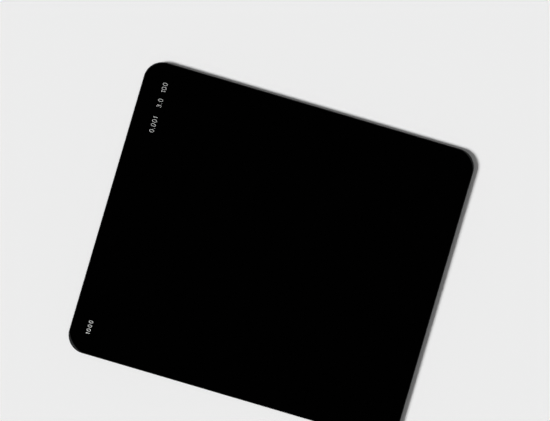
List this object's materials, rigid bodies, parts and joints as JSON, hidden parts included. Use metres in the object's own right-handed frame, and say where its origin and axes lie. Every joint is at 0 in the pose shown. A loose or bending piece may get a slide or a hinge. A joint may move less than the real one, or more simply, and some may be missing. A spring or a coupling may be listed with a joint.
{
  "type": "square neutral density filter",
  "caption": "Frameless slot-in neutral density filter: one flat plate of dark glass with rounded corners and a ground edge.",
  "frame": {"origin": "middle of the back face, on the surface that the plate lies on", "axes": "+X across the holder's slot, from the start to the end of the printed figures; +Y along the slot, towards the edge with the figures; +Z out of the front face"},
  "size_m": [0.1, 0.1134, 0.002],
  "materials": {
    "dark_glass": "polished, coated on both faces, with a fine ground edge",
    "white_ink": "matt white printed ink"
  },
  "bodies": {
    "root": {"filter_plate": "dark_glass"}
  },
  "joints": []
}
